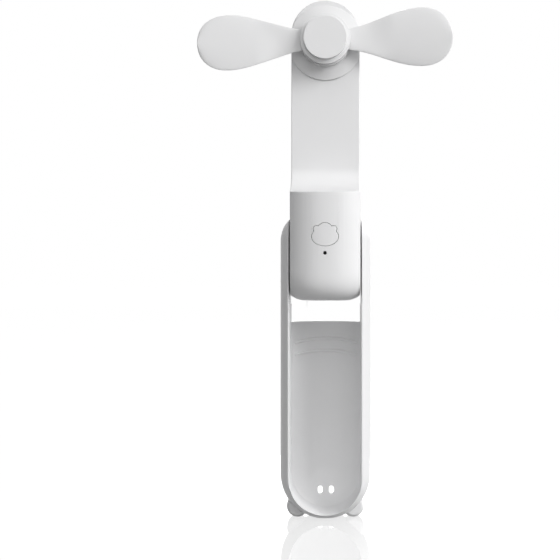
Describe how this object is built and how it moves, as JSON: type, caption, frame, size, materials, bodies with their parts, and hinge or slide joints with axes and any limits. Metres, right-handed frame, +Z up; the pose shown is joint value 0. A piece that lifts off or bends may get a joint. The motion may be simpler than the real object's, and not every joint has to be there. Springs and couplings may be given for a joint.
{
  "type": "folding handheld fan",
  "caption": "White folding pocket fan: an oval U-shaped case is its handle, stand and cover, and a battery body with a paddle-blade rotor swings up between the case's side arms.",
  "frame": {"origin": "on the surface that the open fan stands on, under the middle of the fan", "axes": "+Z up along the case and the opened arm, +X to the right, -Y towards the case's mouth and the front of the rotor"},
  "size_m": [0.116, 0.036, 0.2366],
  "materials": {
    "case_white": "satin",
    "body_white": "satin",
    "rotor_white": "satin",
    "blade_white": "satin",
    "grey_plastic": "matte",
    "black_plastic": "matte",
    "lens_dark": "gloss",
    "steel": "satin",
    "brass": "satin",
    "board_green": "satin",
    "cell_wrap": "satin",
    "lead_red": "satin",
    "lead_black": "satin"
  },
  "bodies": {
    "case": {"case_shell": "case_white", "ear_left": "case_white", "ear_right": "case_white", "hinge_pin_left": "steel", "hinge_pin_right": "steel"},
    "fan_body": {"front_housing": "body_white", "rear_housing": "body_white", "hinge_bush_left": "grey_plastic", "hinge_bush_right": "grey_plastic", "circuit_board": "board_green", "power_switch": "black_plastic", "indicator_led": "grey_plastic", "indicator_lens": "lens_dark", "usb_socket": "steel", "battery_cell": "cell_wrap", "battery_lead_red": "lead_red", "battery_lead_black": "lead_black", "board_screw_1": "steel", "board_screw_2": "steel", "motor_can": "steel", "motor_bearing": "brass", "motor_bezel": "body_white", "motor_screw_1": "steel", "motor_screw_2": "steel", "motor_lead_red": "lead_red", "motor_lead_black": "lead_black"},
    "button": {"power_button": "body_white"},
    "rotor": {"motor_shaft": "steel", "fan_hub": "rotor_white", "hub_cap": "rotor_white", "blade_pin_left": "steel", "blade_pin_right": "steel"},
    "left_blade": {"blade_left": "blade_white"},
    "right_blade": {"blade_right": "blade_white"}
  },
  "joints": [
    {"name": "case_fold", "type": "hinge", "parent": "case", "child": "fan_body", "pos_m": [0, 0, 0.1196], "axis": [1, 0, 0], "range_deg": [0, 180], "deforming": ["blade_left", "blade_right"]},
    {"name": "fan_spin", "type": "hinge", "parent": "fan_body", "child": "rotor", "pos_m": [0, -0.0051, 0.2168], "axis": [0, 1, 0], "continuous": true},
    {"name": "blade_fold_left", "type": "hinge", "parent": "rotor", "child": "left_blade", "pos_m": [-0.0062, -0.0051, 0.21658], "axis": [0, -1, 0], "range_deg": [0, 93]},
    {"name": "blade_fold_right", "type": "hinge", "parent": "rotor", "child": "right_blade", "pos_m": [0.0062, -0.0051, 0.21702], "axis": [0, 1, 0], "range_deg": [0, 97]},
    {"name": "button_press", "type": "slide", "parent": "fan_body", "child": "button", "axis": [0, 1, 0], "range_m": [0, 0.0006], "stiffness_N_per_m": 1500}
  ],
  "couplings": [
    {"joint": "blade_fold_left", "follows": "case_fold", "ratio": 0.51667},
    {"joint": "blade_fold_right", "follows": "case_fold", "ratio": 0.53889}
  ]
}
